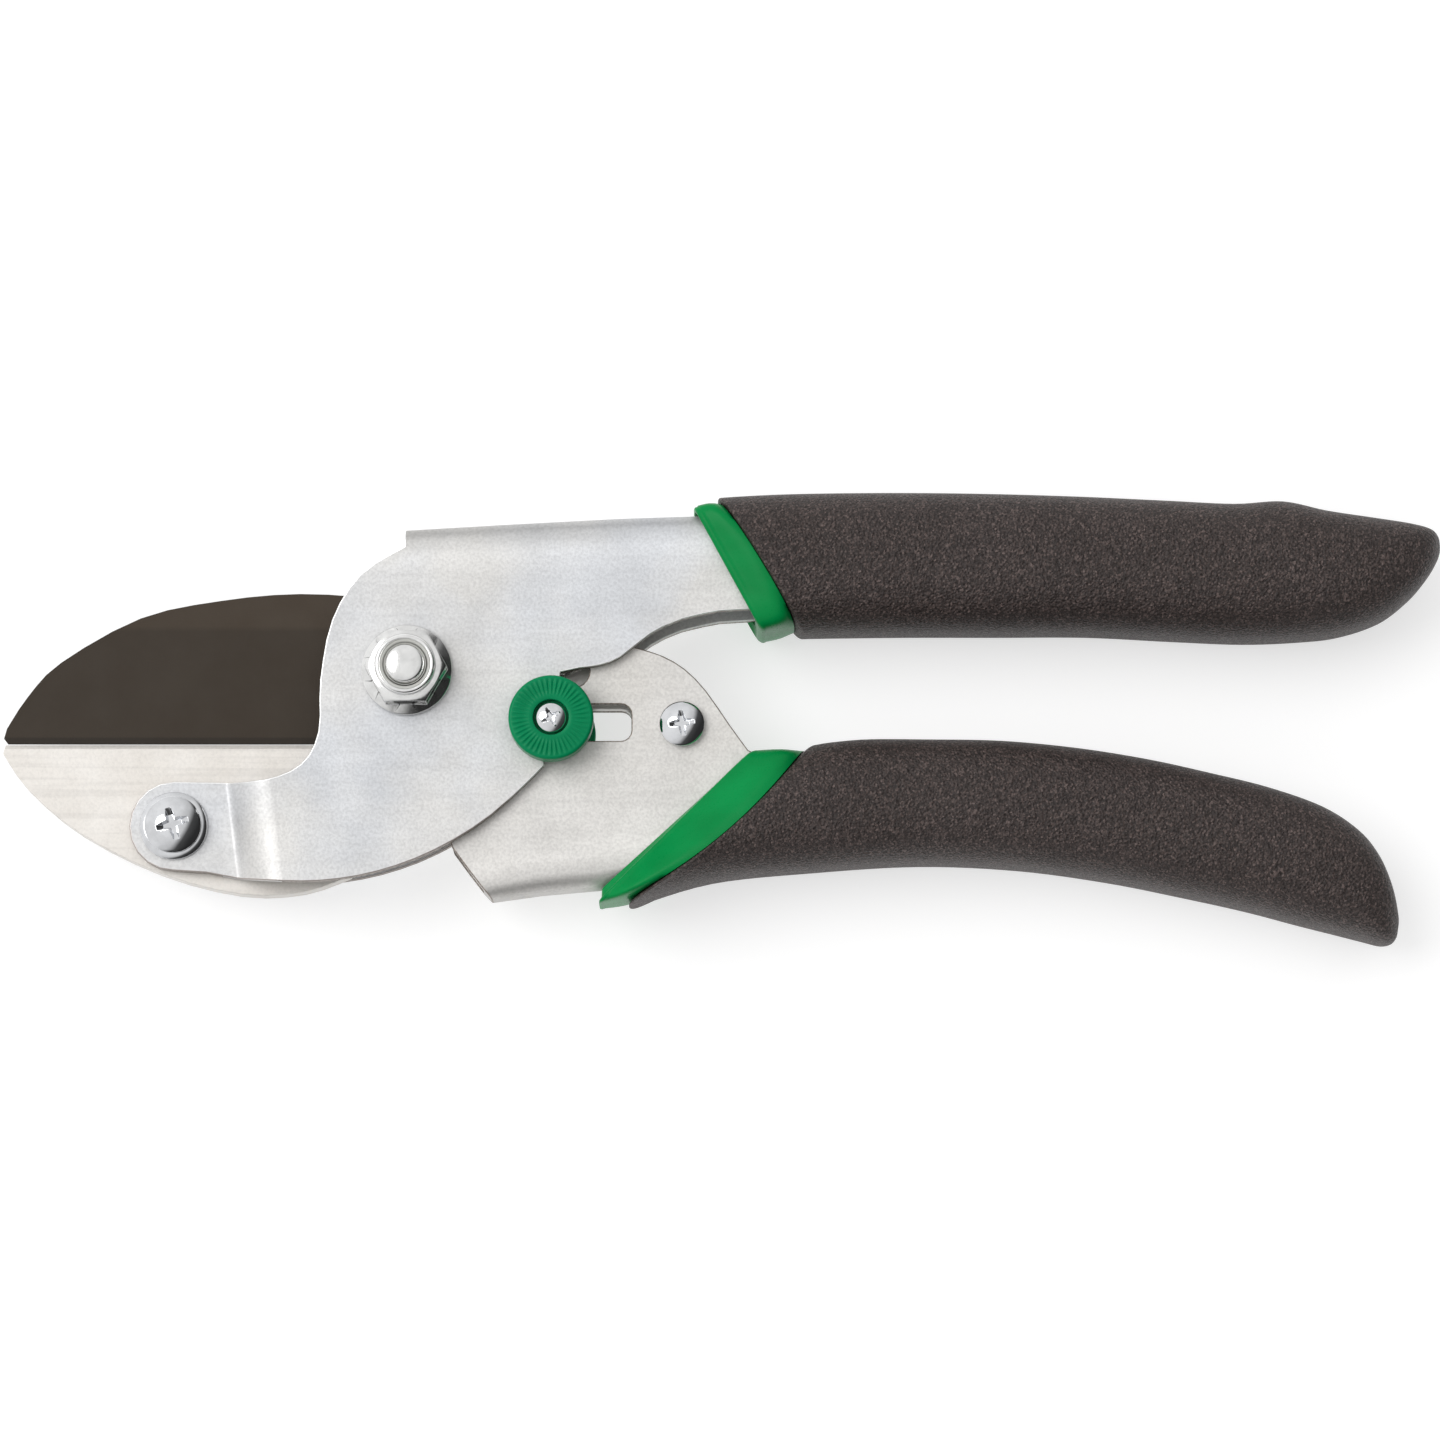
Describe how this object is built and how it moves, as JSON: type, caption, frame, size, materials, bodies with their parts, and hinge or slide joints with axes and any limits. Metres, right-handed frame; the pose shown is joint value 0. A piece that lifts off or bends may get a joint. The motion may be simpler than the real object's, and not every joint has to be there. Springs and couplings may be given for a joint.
{
  "type": "pruning shears",
  "caption": "Hand-held anvil pruning shears with folded sheet-metal handles, a coated blade, a metal anvil, a sliding thumb lock and soft grips, closed and lying flat.",
  "frame": {"origin": "pivot axis, on the rest plane at the flat face of the pivot bolt's head", "axes": "+X along the handles away from the blade, +Y towards the upper handle, +Z out of the front wall, along the pivot axis"},
  "size_m": [0.2032, 0.064, 0.0241],
  "materials": {
    "zinc_sheet": "bright zinc plate on pressed sheet steel, faintly mottled",
    "blade_coating": "dark low-friction coating, semi-matte",
    "anvil_metal": "fine brushed light alloy",
    "screw_steel": "bright plated steel",
    "nylon": "natural nylon",
    "bushing_bronze": "sintered bronze",
    "spring_steel": "drawn spring wire",
    "green_sleeve": "glossy moulded plastic",
    "green_knob": "ribbed moulded plastic",
    "grip_foam": "soft dipped grip with a fine leather grain"
  },
  "bodies": {
    "upper_handle": {"upper_frame": "zinc_sheet", "anvil": "anvil_metal", "anvil_screw": "screw_steel", "anvil_screw_washer": "screw_steel", "anvil_nut": "screw_steel", "pivot_bolt": "screw_steel", "pivot_nut": "screw_steel", "pivot_nut_insert": "nylon", "pivot_bushing": "bushing_bronze", "torsion_spring": "spring_steel", "upper_grip_sleeve": "green_sleeve", "upper_grip_cover": "grip_foam"},
    "lower_handle": {"lower_frame": "zinc_sheet", "blade": "blade_coating", "blade_screw": "screw_steel", "blade_spacer": "zinc_sheet", "blade_nut": "screw_steel", "lower_grip_sleeve": "green_sleeve", "lower_grip_cover": "grip_foam"},
    "thumb_lock": {"lock_knob_front": "green_knob", "lock_knob_back": "green_knob", "lock_pin": "screw_steel", "lock_screw": "screw_steel"}
  },
  "joints": [
    {"name": "handle_pivot", "type": "hinge", "parent": "upper_handle", "child": "lower_handle", "pos_m": [0, 0, 0.01021], "axis": [0, 0, -1], "range_deg": [0, 30], "stiffness_Nm_per_rad": 0.3, "springref_deg": 42.97, "deforming": ["torsion_spring"]},
    {"name": "lock_slide", "type": "slide", "parent": "lower_handle", "child": "thumb_lock", "axis": [1, 0, 0], "range_m": [0, 0.0086]}
  ],
  "couplings": [
    {"joint": "lock_slide", "follows": "handle_pivot", "m_per_rad": 0.016424}
  ]
}
